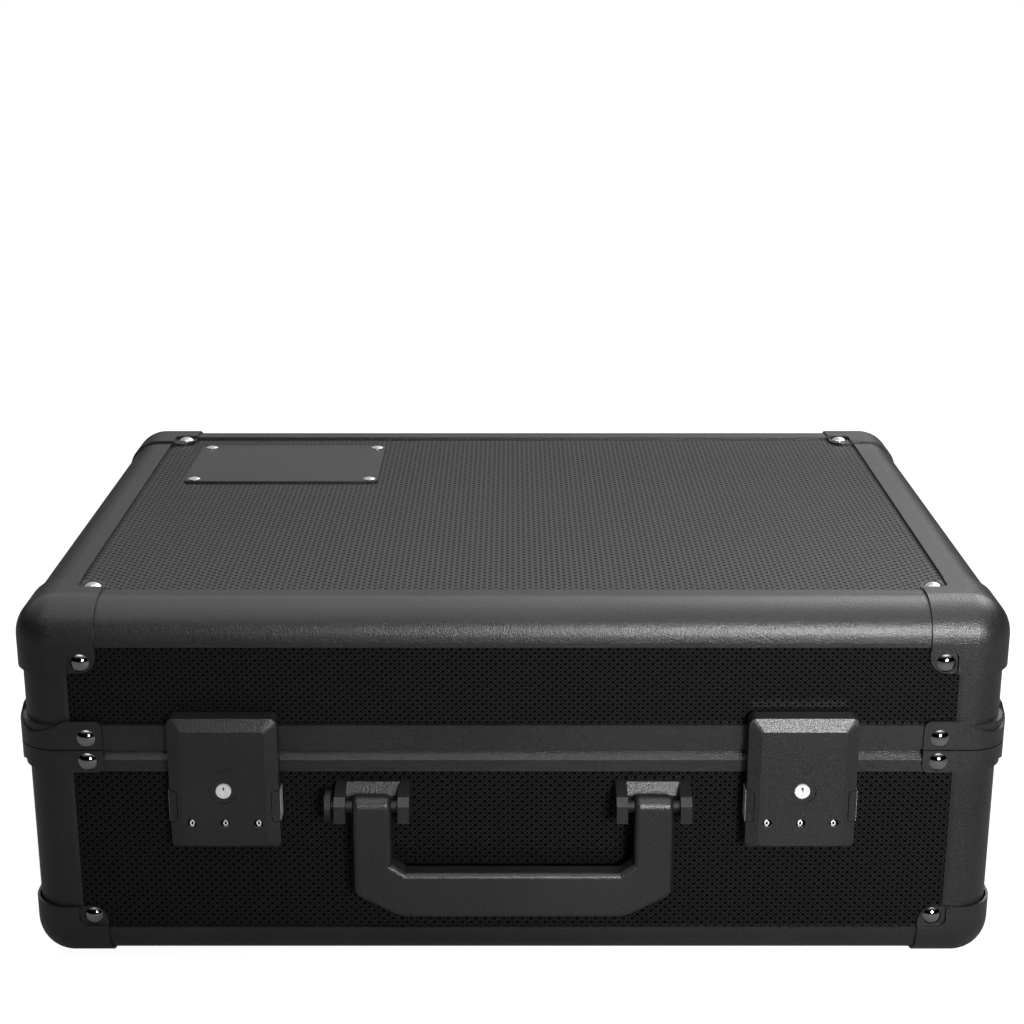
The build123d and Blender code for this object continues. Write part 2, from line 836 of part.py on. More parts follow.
with BuildPart() as handle_bracket:
    for ear_x in (-bracket_half, ear_inner):
        with BuildSketch(side_section(ear_x, front_y, split_z)):
            with BuildLine():
                Polyline(
                    (skin, -bracket_bottom_drop),
                    (-handle_front, -bracket_bottom_drop),
                    (-handle_front, -bracket_slope_drop - bracket_bevel),
                    (bracket_bevel - handle_front, -bracket_slope_drop),
                    (skin, -bracket_top_drop),
                    close=True,
                )
            make_face()
        extrude(amount=bracket_ear)
    with BuildSketch(side_section(-ear_inner, front_y, split_z)):
        with BuildLine():
            Polyline(
                (skin, -bracket_bottom_drop),
                (-web_front, -bracket_bottom_drop),
                (-web_front, -web_drop),
                (skin - bracket_back, -bracket_top_drop),
                (skin, -bracket_top_drop),
                close=True,
            )
        make_face()
    extrude(amount=2 * ear_inner)
    with BuildSketch(side_section(-bracket_half, front_y - pivot_out, split_z - pivot_drop)):
        Circle(handle_pin_radius + running)
    extrude(amount=bracket_width, mode=Mode.SUBTRACT)

for side, sign in (("left", -1), ("right", 1)):
    with BuildPart() as placed_bracket:
        add(handle_bracket.part.moved(Location((sign * handle_spacing / 2, 0, 0))))
    placed_bracket.part.label = f"handle_bracket_{side}"
    export_step(placed_bracket.part, f"parts/handle_bracket_{side}.step")

with BuildPart() as handle_pins:
    for pin_x in (-handle_spacing / 2, handle_spacing / 2):
        with BuildSketch(side_section(pin_x - bracket_half, front_y - pivot_out, split_z - pivot_drop)):
            Circle(handle_pin_radius)
        extrude(amount=bracket_width)
    head_x = -handle_spacing / 2 - bracket_half - pin_head_gap
    with BuildSketch(side_section(head_x, front_y - pivot_out, split_z - pivot_drop)):
        Circle(handle_pin_radius)
    extrude(amount=pin_head_gap)
    with BuildSketch(side_section(head_x - pin_head_thick, front_y - pivot_out, split_z - pivot_drop)):
        Circle(pin_head_radius)
    extrude(amount=pin_head_thick)
handle_pins.part.label = "handle_pins"
export_step(handle_pins.part, "parts/handle_pins.step")


# Locks: a hollow cover hinged on the lid, with number wheels, a key cylinder and two buttons.
def front_block(low, high, mode=Mode.ADD):
    """Fill a block on the front; its corners are (x, out from the wall, height over the split)."""
    span(
        (low[0], front_y - high[1], split_z + low[2]),
        (high[0], front_y - low[1], split_z + high[2]),
        mode=mode,
    )


def front_disc(radius, back, front, height, mode=Mode.ADD):
    """Fill a cylinder that points outward from the front, at a height over the split."""
    with BuildSketch(outward_plane(0, back, split_z + height)) as disc:
        Circle(radius)
    extrude(disc.sketch, amount=front - back, mode=mode)


def cross_pin(radius, reach, out, height, mode=Mode.ADD):
    """Fill a cylinder along X across the middle, at a distance out and a height over the split."""
    with BuildSketch(side_section(0, front_y - out, split_z + height)) as ring:
        Circle(radius)
    extrude(ring.sketch, amount=reach, both=True, mode=mode)


def lock_outline(side_inset, foot_inset, out, top_round, foot_round):
    """Outline of a lock cover at one distance out."""
    with BuildSketch(outward_plane(0, out, split_z)) as outline:
        with BuildLine():
            Polyline(
                (side_inset - lock_width / 2, foot_inset - lock_drop),
                (lock_width / 2 - side_inset, foot_inset - lock_drop),
                (lock_width / 2 - side_inset, lock_rise - side_inset),
                (side_inset - lock_width / 2, lock_rise - side_inset),
                close=True,
            )
        make_face()
        fillet(outline.vertices().group_by(Axis.Y)[0], radius=foot_round)
        fillet(outline.vertices().group_by(Axis.Y)[-1], radius=top_round)
    return outline.sketch


def lock_form(inset, back):
    """The cover's outer form, or with an inset the hollow inside it."""
    edge = lock_edge - inset
    base_round = (lock_top_round - inset, lock_foot_round - inset)
    extrude(lock_outline(inset, inset, back, *base_round), amount=edge - back)
    rim = lock_outline(inset, inset, edge, *base_round)
    face_inset = (inset + lock_bevel, inset + lock_foot_bevel)
    face = lock_outline(*face_inset, lock_front - inset, lock_front_round, base_round[1])
    loft([rim, face], ruled=True)


lock_half = lock_width / 2
notch_x = lock_half - button_width
button_middle = -(button_top_drop + button_bottom_drop) / 2
notch_height = button_bottom_drop - button_top_drop
key_front = lock_front + key_proud
wheel_places = (-wheel_spacing, 0, wheel_spacing)
pin_reach = lock_half - lock_pin_inset

with BuildPart() as lock_outer:
    lock_form(0, lock_back)

with BuildPart() as lock_hollow:
    lock_form(lock_wall, -overrun)

with BuildPart() as button_notch:
    with BuildSketch(outward_plane(lock_half, 0, split_z + button_middle)):
        RectangleRounded(2 * button_width, notch_height, button_round + button_gap)
    extrude(amount=2 * lock_front)

with BuildPart() as button_blank:
    with BuildSketch(outward_plane(lock_half, 0, split_z + button_middle)):
        RectangleRounded(2 * (button_width - button_gap), notch_height - 2 * button_gap, button_round)
    extrude(amount=2 * lock_front)


def trunnion(radius):
    """The pivot of the right button, along Z."""
    foot = split_z - button_bottom_drop - trunnion_length
    with BuildSketch(Plane.XY.offset(foot)) as ring:
        with Locations((notch_x + button_gap + button_pivot_in, front_y - button_pivot_out)):
            Circle(radius)
    return extrude(ring.sketch, amount=notch_height + 2 * trunnion_length, mode=Mode.PRIVATE)


with BuildPart() as lock_cover:
    add(lock_outer.part)
    add(lock_hollow.part, mode=Mode.SUBTRACT)
    front_block(
        (lock_wall - lock_half, 0, -lock_drop - overrun),
        (lock_half - lock_wall, lock_back + lock_foot_slot, lock_foot_round - lock_drop),
        mode=Mode.SUBTRACT,
    )
    front_disc(key_boss_radius, key_boss_back, lock_front - lock_wall, -key_drop)
    rib_offset = wheel_width / 2 + wheel_gap
    for wheel_x in wheel_places:
        for near in (-rib_offset - rib_thick, rib_offset):
            front_block(
                (wheel_x + near, rib_back, -wheel_drop - rib_half),
                (wheel_x + near + rib_thick, lock_front - lock_wall / 2, -wheel_drop + rib_half),
            )
    front_disc(key_dish_radius, lock_front - key_dish_depth, lock_front, -key_drop, mode=Mode.SUBTRACT)
    front_disc(key_radius + running, 0, lock_front, -key_drop, mode=Mode.SUBTRACT)
    with BuildSketch(outward_plane(0, lock_front - mark_depth, split_z - mark_drop)):
        Ellipse(mark_length / 2, mark_height / 2)
    extrude(amount=mark_depth, mode=Mode.SUBTRACT)
    with BuildSketch(outward_plane(0, 0, split_z - window_drop)):
        with Locations(*[(wheel_x, 0) for wheel_x in wheel_places]):
            Circle(window_radius)
    extrude(amount=lock_front, mode=Mode.SUBTRACT)
    cross_pin(lock_pin_radius + running, pin_reach, lock_pivot_out, lock_pivot_rise, mode=Mode.SUBTRACT)
    cross_pin(axle_radius + running, pin_reach, wheel_out, -wheel_drop, mode=Mode.SUBTRACT)
    add(button_notch.part, mode=Mode.SUBTRACT)
    add(mirror(button_notch.part, about=Plane.YZ, mode=Mode.PRIVATE), mode=Mode.SUBTRACT)
    add(trunnion(trunnion_radius + running), mode=Mode.SUBTRACT)
    add(mirror(trunnion(trunnion_radius + running), about=Plane.YZ, mode=Mode.PRIVATE), mode=Mode.SUBTRACT)

with BuildPart() as squeeze_button:
    add(lock_outer.part.moved(Location((button_proud, 0, 0))))
    add(button_blank.part, mode=Mode.INTERSECT)
    add(trunnion(trunnion_radius))
    hook_x = hook_from_middle + hook_leg
    bar_low = -bar_drop - bar_height / 2
    bar_high = -bar_drop + bar_height / 2
    bar_front = bar_out + bar_thick
    front_block((hook_from_middle, bar_out, bar_low), (notch_x + button_width / 2, bar_front, bar_high))
    front_block((hook_from_middle, plate_foot, bar_low), (hook_x, bar_front, bar_high))
    front_block((hook_x, plate_foot, bar_low), (hook_x + hook_toe, plate_foot + hook_toe_thick, bar_high))

with BuildPart() as wheel_axle:
    cross_pin(axle_radius, pin_reach, wheel_out, -wheel_drop)

with BuildPart() as number_wheel:
    with BuildSketch(side_section(-wheel_width / 2, front_y - wheel_out, split_z - wheel_drop)):
        Circle(wheel_radius)
        Circle(axle_radius + running, mode=Mode.SUBTRACT)
        with PolarLocations(wheel_radius, wheel_notches, start_angle=180 / wheel_notches):
            Circle(wheel_notch_radius, mode=Mode.SUBTRACT)
    extrude(amount=wheel_width)

with BuildPart() as key_cylinder:
    front_disc(key_radius, key_front - key_length, key_front, -key_drop)
    front_block(
        (-key_slot_width / 2, key_front - key_slot_depth, -key_drop - key_slot_length / 2),
        (key_slot_width / 2, key_front, -key_drop + key_slot_length / 2),
        mode=Mode.SUBTRACT,
    )
    cam_front = key_front - key_length
    front_disc(key_tail_radius, cam_front - cam_thick, cam_front, -key_drop)
    front_block(
        (-cam_width / 2, cam_front - cam_thick, -key_drop),
        (cam_width / 2, cam_front, cam_reach - key_drop),
    )

with BuildPart() as lock_plate:
    front_block(
        (-plate_width / 2, plate_foot, plate_foot),
        (plate_width / 2, plate_foot + plate_thick, plate_top),
    )
    for ear_x in (-plate_width / 2 + ear_from_side, plate_width / 2 - ear_from_side - ear_thick):
        with BuildSketch(side_section(ear_x, front_y, split_z)):
            with BuildLine():
                Polyline(
                    (-plate_foot, ear_foot),
                    (-plate_foot, ear_top),
                    (-ear_back, ear_top),
                    (-ear_back, lock_pivot_rise),
                    (-lock_pivot_out - ear_radius, lock_pivot_rise),
                    (-lock_pivot_out - ear_radius, ear_shoulder),
                    (-plate_foot - plate_thick, ear_foot),
                    close=True,
                )
            make_face()
            with Locations((-lock_pivot_out, lock_pivot_rise)):
                Circle(ear_radius)
                Circle(lock_pin_radius + running, mode=Mode.SUBTRACT)
        extrude(amount=ear_thick)

with BuildPart() as lock_hinge_pin:
    cross_pin(lock_pin_radius, pin_reach, lock_pivot_out, lock_pivot_rise)

with BuildPart() as lock_keeper:
    plate_low = -bar_drop - keeper_height / 2
    plate_high = -bar_drop + keeper_height / 2
    front_block((-keeper_width / 2, -skin, plate_low), (keeper_width / 2, 0, plate_high))
    post_low = -bar_drop - keeper_post_height / 2
    post_high = -bar_drop + keeper_post_height / 2
    lip_x = keeper_from_middle - keeper_lip
    lip_out = keeper_out - keeper_lip_thick
    front_block((keeper_from_middle, 0, post_low), (keeper_from_middle + keeper_post, keeper_out, post_high))
    front_block((lip_x, lip_out, post_low), (keeper_from_middle, keeper_out, post_high))
    mirror(about=Plane.YZ)

lock_x = lock_spacing_share * half_width
left_lock = Location((-lock_x, 0, 0))
right_lock = Location((lock_x, 0, 0))

for plural, single in (
    ("lock_plates", lock_plate),
    ("lock_hinge_pins", lock_hinge_pin),
    ("lock_keepers", lock_keeper),
):
    with BuildPart() as pair:
        add(single.part.moved(left_lock))
        add(single.part.moved(right_lock))
    pair.part.label = plural
    export_step(pair.part, f"parts/{plural}.step")

lock_pieces = [
    ("lock_cover", lock_cover.part),
    ("wheel_axle", wheel_axle.part),
    ("lock_right_button", squeeze_button.part),
    ("lock_left_button", mirror(squeeze_button.part, about=Plane.YZ, mode=Mode.PRIVATE)),
    ("key_cylinder", key_cylinder.part),
]
for number, wheel_x in enumerate(wheel_places, start=1):
    lock_pieces.append((f"number_wheel_{number}", number_wheel.part.moved(Location((wheel_x, 0, 0)))))

for side, place in (("left", left_lock), ("right", right_lock)):
    for name, piece in lock_pieces:
        with BuildPart() as placed:
            add(piece.moved(place))
        placed.part.label = f"{side}_{name}"
        export_step(placed.part, f"parts/{side}_{name}.step")

# Plate on the top board, held by four rivets and left bare.
badge_left = badge_from_left - half_width
badge_front = back_y - badge_from_back - badge_depth
badge_foot = top_z - skin
badge_middle = (badge_left + badge_width / 2, badge_front + badge_depth / 2)

with BuildPart() as badge_plate:
    with BuildSketch(Plane.XY.offset(badge_foot)):
        with Locations(badge_middle):
            RectangleRounded(badge_width, badge_depth, badge_round)
    extrude(amount=badge_thick)
badge_plate.part.label = "badge_plate"
export_step(badge_plate.part, "parts/badge_plate.step")

with BuildPart() as badge_rivets:
    for x in (badge_left + badge_rivet_inset, badge_left + badge_width - badge_rivet_inset):
        for y in (badge_front + badge_rivet_inset, badge_front + badge_depth - badge_rivet_inset):
            set_rivet(badge_rivet, x, y, badge_foot + badge_thick, (0, 0, 1))
badge_rivets.part.label = "badge_rivets"
export_step(badge_rivets.part, "parts/badge_rivets.step")

# Foam lining: a floor pad, walls, dividers between the rows and a pad under the lid.
lining = frame_depth + foam_gap
foam_left = lining - half_width
foam_front = front_y + lining
foam_back = back_y - lining
foam_foot = stand + frame_depth
pad_top = foam_foot + foam_floor
foam_top = split_z - foam_below_split
row_width = slab_width + slab_play
rows = int((case_width - 2 * (lining + foam_side_least) + foam_divider) / (row_width + foam_divider))
rows_width = rows * row_width + (rows - 1) * foam_divider
side_wall = half_width - lining - rows_width / 2

with BuildPart() as foam_floor_pad:
    span((foam_left, foam_front, foam_foot), (-foam_left, foam_back, pad_top))
foam_floor_pad.part.label = "foam_floor_pad"
export_step(foam_floor_pad.part, "parts/foam_floor_pad.step")

row_front = foam_front + foam_end
row_back = foam_back - foam_end

with BuildPart() as foam_walls:
    span((foam_left, foam_front, pad_top), (-foam_left, row_front - foam_gap, foam_top))
    span((foam_left, row_back + foam_gap, pad_top), (-foam_left, foam_back, foam_top))
    outer = foam_walls.edges().filter_by(Axis.Z).group_by(Axis.Y)
    fillet(outer[0] + outer[-1], radius=edge_round - lining)
    span((foam_left, row_front, pad_top), (foam_left + side_wall, row_back, foam_top))
    span((-foam_left - side_wall, row_front, pad_top), (-foam_left, row_back, foam_top))
foam_walls.part.label = "foam_walls"
export_step(foam_walls.part, "parts/foam_walls.step")

with BuildPart() as foam_dividers:
    for row in range(1, rows):
        near_x = foam_left + side_wall + row * row_width + (row - 1) * foam_divider
        span((near_x, row_front, pad_top), (near_x + foam_divider, row_back, foam_top))
foam_dividers.part.label = "foam_dividers"
export_step(foam_dividers.part, "parts/foam_dividers.step")

with BuildPart() as lid_foam_pad:
    foam_high = top_z - frame_depth
    span((foam_left, foam_front, foam_high - lid_foam), (-foam_left, foam_back, foam_high))
lid_foam_pad.part.label = "lid_foam_pad"
export_step(lid_foam_pad.part, "parts/lid_foam_pad.step")
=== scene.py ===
"""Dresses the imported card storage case: coated metal, embossed boards, rivets, numbers and foam."""

import bpy
import numpy as np
from mathutils import Euler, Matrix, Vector


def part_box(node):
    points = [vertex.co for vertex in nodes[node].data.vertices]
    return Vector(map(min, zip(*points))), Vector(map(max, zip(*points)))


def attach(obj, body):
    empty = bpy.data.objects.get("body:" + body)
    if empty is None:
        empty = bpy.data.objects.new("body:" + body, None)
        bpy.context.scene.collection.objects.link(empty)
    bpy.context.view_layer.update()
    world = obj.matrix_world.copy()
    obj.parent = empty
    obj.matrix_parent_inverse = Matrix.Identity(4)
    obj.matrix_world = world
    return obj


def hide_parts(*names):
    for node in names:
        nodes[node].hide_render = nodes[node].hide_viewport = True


bl_info = {
    "name": "Card Storage Case",
    "version": (1, 0, 0),
    "blender": (4, 5, 0),
    "location": "View3D > Sidebar > Card Case",
    "description": "Finishes for a latched storage case with combination locks and a swing handle",
    "category": "Object",
}

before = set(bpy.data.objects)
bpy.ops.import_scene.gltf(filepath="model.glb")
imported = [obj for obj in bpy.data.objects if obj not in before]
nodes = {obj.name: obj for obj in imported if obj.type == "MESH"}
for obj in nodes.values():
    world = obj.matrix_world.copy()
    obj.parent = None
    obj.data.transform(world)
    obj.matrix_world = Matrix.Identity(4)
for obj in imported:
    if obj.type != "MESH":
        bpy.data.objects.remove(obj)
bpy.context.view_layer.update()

# Places and sizes in millimetres
MM = 0.001
LOCK_X = 133.0
SIDES = {"left": -LOCK_X, "right": LOCK_X}
SPLIT_Z = 111.8
FRONT_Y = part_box("base_front_board")[0].y / MM - 1.5
KEY_SLOT_LOW = SPLIT_Z - 16.2
KEY_SLOT_HIGH = SPLIT_Z - 14.4
COAT_RELIEF = 0.17
WHEEL_RADIUS = 4.4
NUMBERS = 10
RIVET_REACH = 12.0
RIVET_BODIES = {"base_rivets": "base", "lid_rivets": "lid", "badge_rivets": "lid"}

# Foam, in millimetres
ROW_EDGE = 195.0
ROW_PITCH = 102.0
DIVIDER_THICK = 18.0
CORNER_LAP = 3.0
FOAM_SEAM = 0.3
CREST_RISE = 5.0
PAD_EDGE = 4.0

# Embossing: pitch in millimetres along the two axes of the face, weight of the clear coat, tone of
# the rings, how much of both the ground keeps, and the specular level under the coat
# The upright base and lid boards get a darker ring tone and ground than the flat ones: painted shade
EMBOSSING = {
    "base": {"pitch": (4.4, 4.1), "gloss": 0.24, "tone": 0.6, "low": 0.03, "level": 0.05},
    "lid": {"pitch": (4.0, 3.6), "gloss": 0.24, "tone": 0.65, "low": 0.03, "level": 0.05},
    "flat": {"pitch": (5.4, 4.15), "gloss": 0.7, "tone": 0.95, "low": 0.22, "level": 0.12},
}
BOARDS = [
    ("base", (0, 2), ("base_front_board", "base_back_board")),
    ("base", (1, 2), ("base_left_board", "base_right_board")),
    ("lid", (0, 2), ("lid_front_board", "lid_back_board")),
    ("lid", (1, 2), ("lid_left_board", "lid_right_board")),
    ("flat", (0, 1), ("lid_top_board", "base_floor_board")),
]

# Stage, in metres and degrees: place, aim, size and spread of each lamp
FRONT_LAMP = ((0.49, -1.7, 0.64), (0.22, -0.1, 0.12), (0.4, 0.4), 40)
TOP_LAMP = ((0.1, 0.0, 1.7), (0.1, 0.0, 0.1), (1.4, 0.9), 180)
CAMERA_PLACE = (-0.0004, FRONT_Y * MM - 0.7886, 0.4712)
CAMERA_TILT = 17.25
FLOOR_REACH = 6000.0
WHITE = (1, 1, 1, 1)


# Shader expressions
class Signal:
    """A shader socket that takes part in Python arithmetic."""

    def __init__(self, shader, socket):
        self.shader = shader
        self.socket = socket

    def math(self, operation, first, second=0.0):
        """One Math node of the named operation."""
        return self.shader.node("ShaderNodeMath", {"operation": operation}, {0: first, 1: second})

    def __add__(self, other):
        return self.math("ADD", self, other)

    def __sub__(self, other):
        return self.math("SUBTRACT", self, other)

    def __rsub__(self, other):
        return self.math("SUBTRACT", other, self)

    def __mul__(self, other):
        return self.math("MULTIPLY", self, other)

    def __truediv__(self, other):
        return self.math("DIVIDE", self, other)

    def __abs__(self):
        return self.math("ABSOLUTE", self)

    def bigger(self, other):
        """The larger of two values."""
        return self.math("MAXIMUM", self, other)

    def wave(self):
        """Distance to the nearest whole number, from 0 to a half."""
        return abs(self - self.math("ROUND", self))

    def step(self, low, high, start=0.0, end=1.0):
        """Go smoothly from start to end while the value goes from low to high."""
        return self.shader.node(
            "ShaderNodeMapRange",
            {"interpolation_type": "SMOOTHSTEP"},
            {0: self, 1: low, 2: high, 3: start, 4: end},
        )


class Shader:
    """The nodes of one material or world."""

    def __init__(self, owner, output="ShaderNodeOutputMaterial"):
        owner.use_nodes = True
        self.owner = owner
        self.tree = owner.node_tree
        self.tree.nodes.clear()
        self.surface = self.tree.nodes.new(output).inputs["Surface"]
        self.count = 0

    def node(self, kind, settings=None, inputs=None, output=0):
        """Add a node, set it up, fill its sockets with values or links, and give one output."""
        made = self.tree.nodes.new(kind)
        self.count += 1
        made.location = (-180 * (self.count % 12), -220 * (self.count // 12))
        for key, value in (settings or {}).items():
            setattr(made, key, value)
        for key, value in (inputs or {}).items():
            socket = made.inputs[key]
            if isinstance(value, Signal):
                self.tree.links.new(value.socket, socket)
            else:
                socket.default_value = value
        return Signal(self, made.outputs[output])

    def lead(self, shader):
        """Lead a shader to the output, and give the material or world."""
        self.tree.links.new(shader.socket, self.surface)
        return self.owner

    def place(self):
        """The point being shaded, in millimetres."""
        coordinates = self.node("ShaderNodeTexCoord", output="Object")
        return self.node(
            "ShaderNodeVectorMath", {"operation": "SCALE"}, {0: coordinates, "Scale": 1000.0}
        )

    def axes(self, place):
        """The x, y and z of a point."""
        outputs = self.node("ShaderNodeSeparateXYZ", {}, {0: place}).socket.node.outputs
        return [Signal(self, socket) for socket in outputs]

    def rays(self):
        """Whether a ray comes from the camera, a reflection or a transmission."""
        kinds = ("Is Camera Ray", "Is Glossy Ray", "Is Transmission Ray")
        return [self.node("ShaderNodeLightPath", output=kind) for kind in kinds]

    def noise(self, place, size, detail=2.0):
        """Soft noise whose features are about size millimetres wide, from 0 to 1."""
        inputs = {"Vector": place, "Scale": 1.0 / size, "Detail": detail}
        return self.node("ShaderNodeTexNoise", {}, inputs)

    def cells(self, place, size):
        """Distance to the nearest of scattered points, size millimetres apart."""
        return self.node("ShaderNodeTexVoronoi", {}, {"Vector": place, "Scale": 1.0 / size})

    def blend(self, factor, first, second):
        """A mix of two colours."""
        inputs = {0: factor, 6: first, 7: second}
        return self.node("ShaderNodeMix", {"data_type": "RGBA"}, inputs, output=2)

    def bump(self, height, depth):
        """Relief of so many millimetres where height goes from 0 to 1."""
        return self.node(
            "ShaderNodeBump", {}, {"Height": height, "Distance": depth * MM, "Strength": 1.0}
        )

    def principled(self, inputs):
        """The finish itself, led to the output."""
        return self.lead(self.node("ShaderNodeBsdfPrincipled", {}, inputs))


def new_finish(name):
    """The shader of a new material."""
    return Shader(bpy.data.materials.new(name))


def tint(colour, level=1.0):
    """A colour with alpha, brightened by level."""
    return (colour[0] * level, colour[1] * level, colour[2] * level, 1.0)


def powder_coat(name, colour, roughness, grain, relief, bare=None):
    """Textured powder coat: fine bumps and a faint mottle.

    It can be bare metal beyond a distance on either side of a place on X: bare gives both.
    """
    s = new_finish(name)
    place = s.place()
    fine = s.noise(place, grain)
    broad = s.noise(place, grain * 2.2)
    drift = s.noise(place, 60.0, 1.0)
    mottle = fine * 0.4 + broad * 0.4 + drift * 0.3
    shade = s.blend(mottle.step(0.35, 0.75), tint(colour, 0.6), tint(colour, 1.4))
    inputs = {
        "Base Color": shade,
        "Roughness": broad * 0.12 + (roughness - 0.06),
        "Specular IOR Level": 0.5,
        "Normal": s.bump(fine + broad * 0.4, relief),
    }
    if bare:
        centre, reach = bare
        metal = abs(s.axes(place)[0] - centre).step(reach - 0.12, reach - 0.04)
        inputs["Base Color"] = s.blend(metal, shade, (0.8, 0.8, 0.8, 1.0))
        inputs["Metallic"] = metal * 0.5
    return s.principled(inputs)


def embossed_sheet(name, colour, relief, face, pitch, gloss, tone, low, level):
    """Sheet embossed with lozenges: pale rings, partly painted highlight, and painted shade in the
    pits between.
    """
    s = new_finish(name)
    place = s.place()
    axes = s.axes(place)
    across = axes[face[0]] / pitch[0]
    along = axes[face[1]] / pitch[1]
    rising = (across + along).wave()
    falling = (across - along).wave()
    out = rising.bigger(falling)
    ring = out.step(0.1, 0.2) * out.step(0.34, 0.48, 1.0, 0.25)
    dash_pit_and_shade = (rising + falling).step(0.58, 0.74)
    fine = s.noise(place, 0.35)
    drift = s.noise(place, 45.0)
    shade = s.blend(drift.step(0.3, 0.7), tint(colour, low * 1.4), tint(colour, low * 2.2))
    # Pale rings: the sheet's pattern, and in part a painted highlight for the glint on their raised
    # rims
    shade = s.blend(ring, shade, tint(colour, 4.2 * tone))
    # Painted shade: the pits between lozenges drawn near-black for the shadow in them
    shade = s.blend(dash_pit_and_shade, shade, tint(colour, 0.05))
    return s.principled({
        "Base Color": shade,
        "Roughness": fine * 0.1 + 0.4 + dash_pit_and_shade * 0.4,
        "Specular IOR Level": level,
        "Coat Weight": (ring * (1 - low) + low) * (1 - dash_pit_and_shade) * gloss,
        "Coat Roughness": 0.24,
        "Coat IOR": 1.5,
        "Normal": s.bump(ring - dash_pit_and_shade * 0.8 + fine * 0.08, relief),
    })


def bright_metal(name, colour, roughness, brush=0.0, worn=0.06, metal=1.0, slot=None):
    """Plated or bare metal with a little haze, brushed along X where asked.

    Painted shade can darken an upright slot on either side: slot gives its place on X, foot and top.
    """
    s = new_finish(name)
    place = s.place()
    haze = s.noise(place, 2.2, 3.0)
    inputs = {
        "Base Color": s.blend(haze.step(0.35, 0.75), tint(colour), tint(colour, 1.0 - worn * 2)),
        "Metallic": metal,
        "Roughness": haze * worn + roughness,
    }
    if slot:
        x, _y, z = s.axes(place)
        centre, foot, top = slot
        # Painted shade: the key slot drawn near-black, standing in for the shadow inside it
        painted_slot_shade = abs(abs(x) - centre).step(0.3, 0.5, 1.0, 0.0) * z.step(foot, foot + 0.2)
        painted_slot_shade = painted_slot_shade * z.step(top, top + 0.2, 1.0, 0.0)
        inputs["Base Color"] = s.blend(painted_slot_shade, inputs["Base Color"], (0.01, 0.01, 0.01, 1.0))
    if brush:
        stretch = s.node("ShaderNodeMapping", {}, {"Vector": place, "Scale": (0.05, 1.0, 1.0)})
        inputs["Normal"] = s.bump(s.noise(stretch, 0.25), brush)
    return s.principled(inputs)


def moulded_plastic(name, colour, roughness, gloss=0.5):
    """Smooth moulded plastic with a faint grain."""
    s = new_finish(name)
    grain = s.noise(s.place(), 0.3)
    return s.principled({
        "Base Color": s.blend(grain, tint(colour, 0.9), tint(colour, 1.1)),
        "Roughness": grain * 0.1 + roughness,
        "Specular IOR Level": gloss,
        "Normal": s.bump(grain, 0.02),
    })


def foam_finish(name, colour, pore):
    """Closed foam: dark, matt, with open pores of the given size."""
    s = new_finish(name)
    place = s.place()
    pores = s.cells(place, pore).step(0.1, 0.5)
    cloud = s.noise(place, 18.0, 3.0)
    # Painted shade: the pores drawn darker for the shadow inside them
    shade = s.blend(pores, tint(colour, 0.45), tint(colour))
    shade = s.blend(cloud.step(0.35, 0.75) * 0.5, shade, tint(colour, 1.5))
    return s.principled({
        "Base Color": shade,
        "Roughness": 0.92 - pores * 0.06,
        "Specular IOR Level": 0.25,
        "Normal": s.bump(pores, 0.25),
    })


def dress(material, *names):
    """Give a finish to CAD nodes."""
    for name in names:
        data = nodes[name].data
        data.materials.clear()
        data.materials.append(material)


# Surfaces
def mesh_from(name, points, faces, material):
    """A mesh object from an array of points in millimetres and a list of faces."""
    mesh = bpy.data.meshes.new(name)
    mesh.from_pydata((points * MM).tolist(), [], faces)
    mesh.update()
    mesh.materials.append(material)
    made = bpy.data.objects.new(name, mesh)
    bpy.context.scene.collection.objects.link(made)
    return made


def smooth(piece, angle):
    """Shade a piece smoothly, apart from edges that turn by more than the angle in radians."""
    mesh = piece.data
    mesh.polygons.foreach_set("use_smooth", np.ones(len(mesh.polygons), bool))
    mesh.set_sharp_from_angle(angle=angle)


def mesh_points(mesh):
    """The points of a mesh as an array."""
    points = np.empty(len(mesh.vertices) * 3)
    mesh.vertices.foreach_get("co", points)
    return points.reshape(-1, 3)


def merge_blocks(blocks):
    """The points of several blocks in one array, and their faces in one list."""
    points = np.concatenate([block[0] for block in blocks])
    faces = []
    start = 0
    for block_points, block_faces in blocks:
        faces += [[point + start for point in face] for face in block_faces]
        start += len(block_points)
    return points, faces


def grid_faces(rows, columns):
    """Quads of a grid of points, row by row."""
    index = np.arange(rows * columns).reshape(rows, columns)
    return np.stack(
        [index[:-1, :-1], index[:-1, 1:], index[1:, 1:], index[1:, :-1]], axis=-1
    ).reshape(-1, 4)


def slab_surface(x, y, low, high):
    """A closed block between two sheets: low and high give the height over each x and y."""
    across, along = np.meshgrid(x, y, indexing="ij")
    rows, columns = across.shape
    top = np.stack([across, along, high], axis=-1).reshape(-1, 3)
    foot = np.stack([across, along, low], axis=-1).reshape(-1, 3)
    count = rows * columns
    quads = grid_faces(rows, columns)
    index = np.arange(count).reshape(rows, columns)
    rim = np.concatenate([index[:, 0], index[-1, 1:], index[-2::-1, -1], index[0, -2:0:-1]])
    after = np.roll(rim, -1)
    walls = np.stack([rim, after, after + count, rim + count], axis=-1)
    faces = np.concatenate([quads[:, ::-1], quads + count, walls])
    return np.concatenate([top, foot]), faces.tolist()


def rounding(values, radius):
    """How far a quarter-round edge drops at each place of a sorted row of values."""
    edge = np.minimum(values - values[0], values[-1] - values)
    return radius - np.sqrt(np.maximum(radius**2 - np.maximum(radius - edge, 0) ** 2, 0))


def edged(low, high, radius, steps):
    """Places from low to high, close together within radius of each end."""
    turn = radius * (1 - np.cos(np.linspace(0, np.pi / 2, steps)))
    middle = np.linspace(low + radius, high - radius, steps * 3)[1:-1]
    return np.concatenate([low + turn, middle, high - turn[::-1]])


